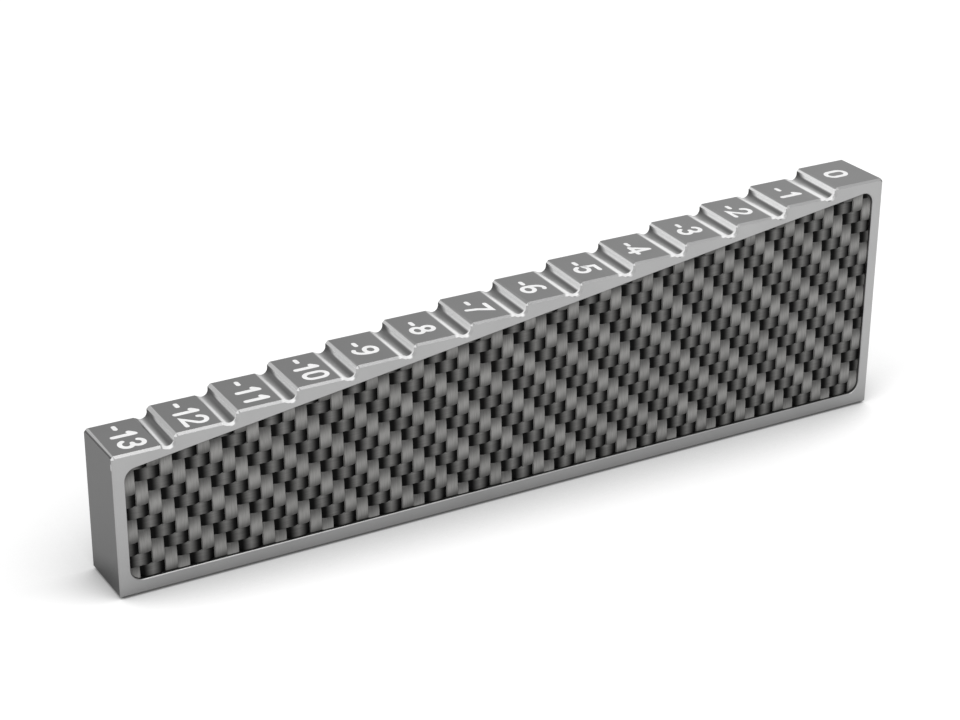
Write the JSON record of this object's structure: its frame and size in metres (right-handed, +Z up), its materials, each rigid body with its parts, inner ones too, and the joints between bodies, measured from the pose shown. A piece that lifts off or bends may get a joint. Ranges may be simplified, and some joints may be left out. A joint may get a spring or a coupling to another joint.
{
  "type": "droop gauge",
  "caption": "Stepped block gauge that stands on its foot: the step that an arm just touches reads its droop in millimetres.",
  "frame": {"origin": "middle of the flat foot that the gauge stands on", "axes": "+X along the foot towards the tall end, +Y away from the inlaid front face, +Z up from the foot to the steps"},
  "size_m": [0.1, 0.008, 0.03],
  "materials": {
    "satin_aluminium": "satin, fine machined",
    "carbon_twill": "glossy carbon fibre twill"
  },
  "bodies": {
    "root": {"gauge_body": "satin_aluminium", "carbon_inlay": "carbon_twill"}
  },
  "joints": []
}
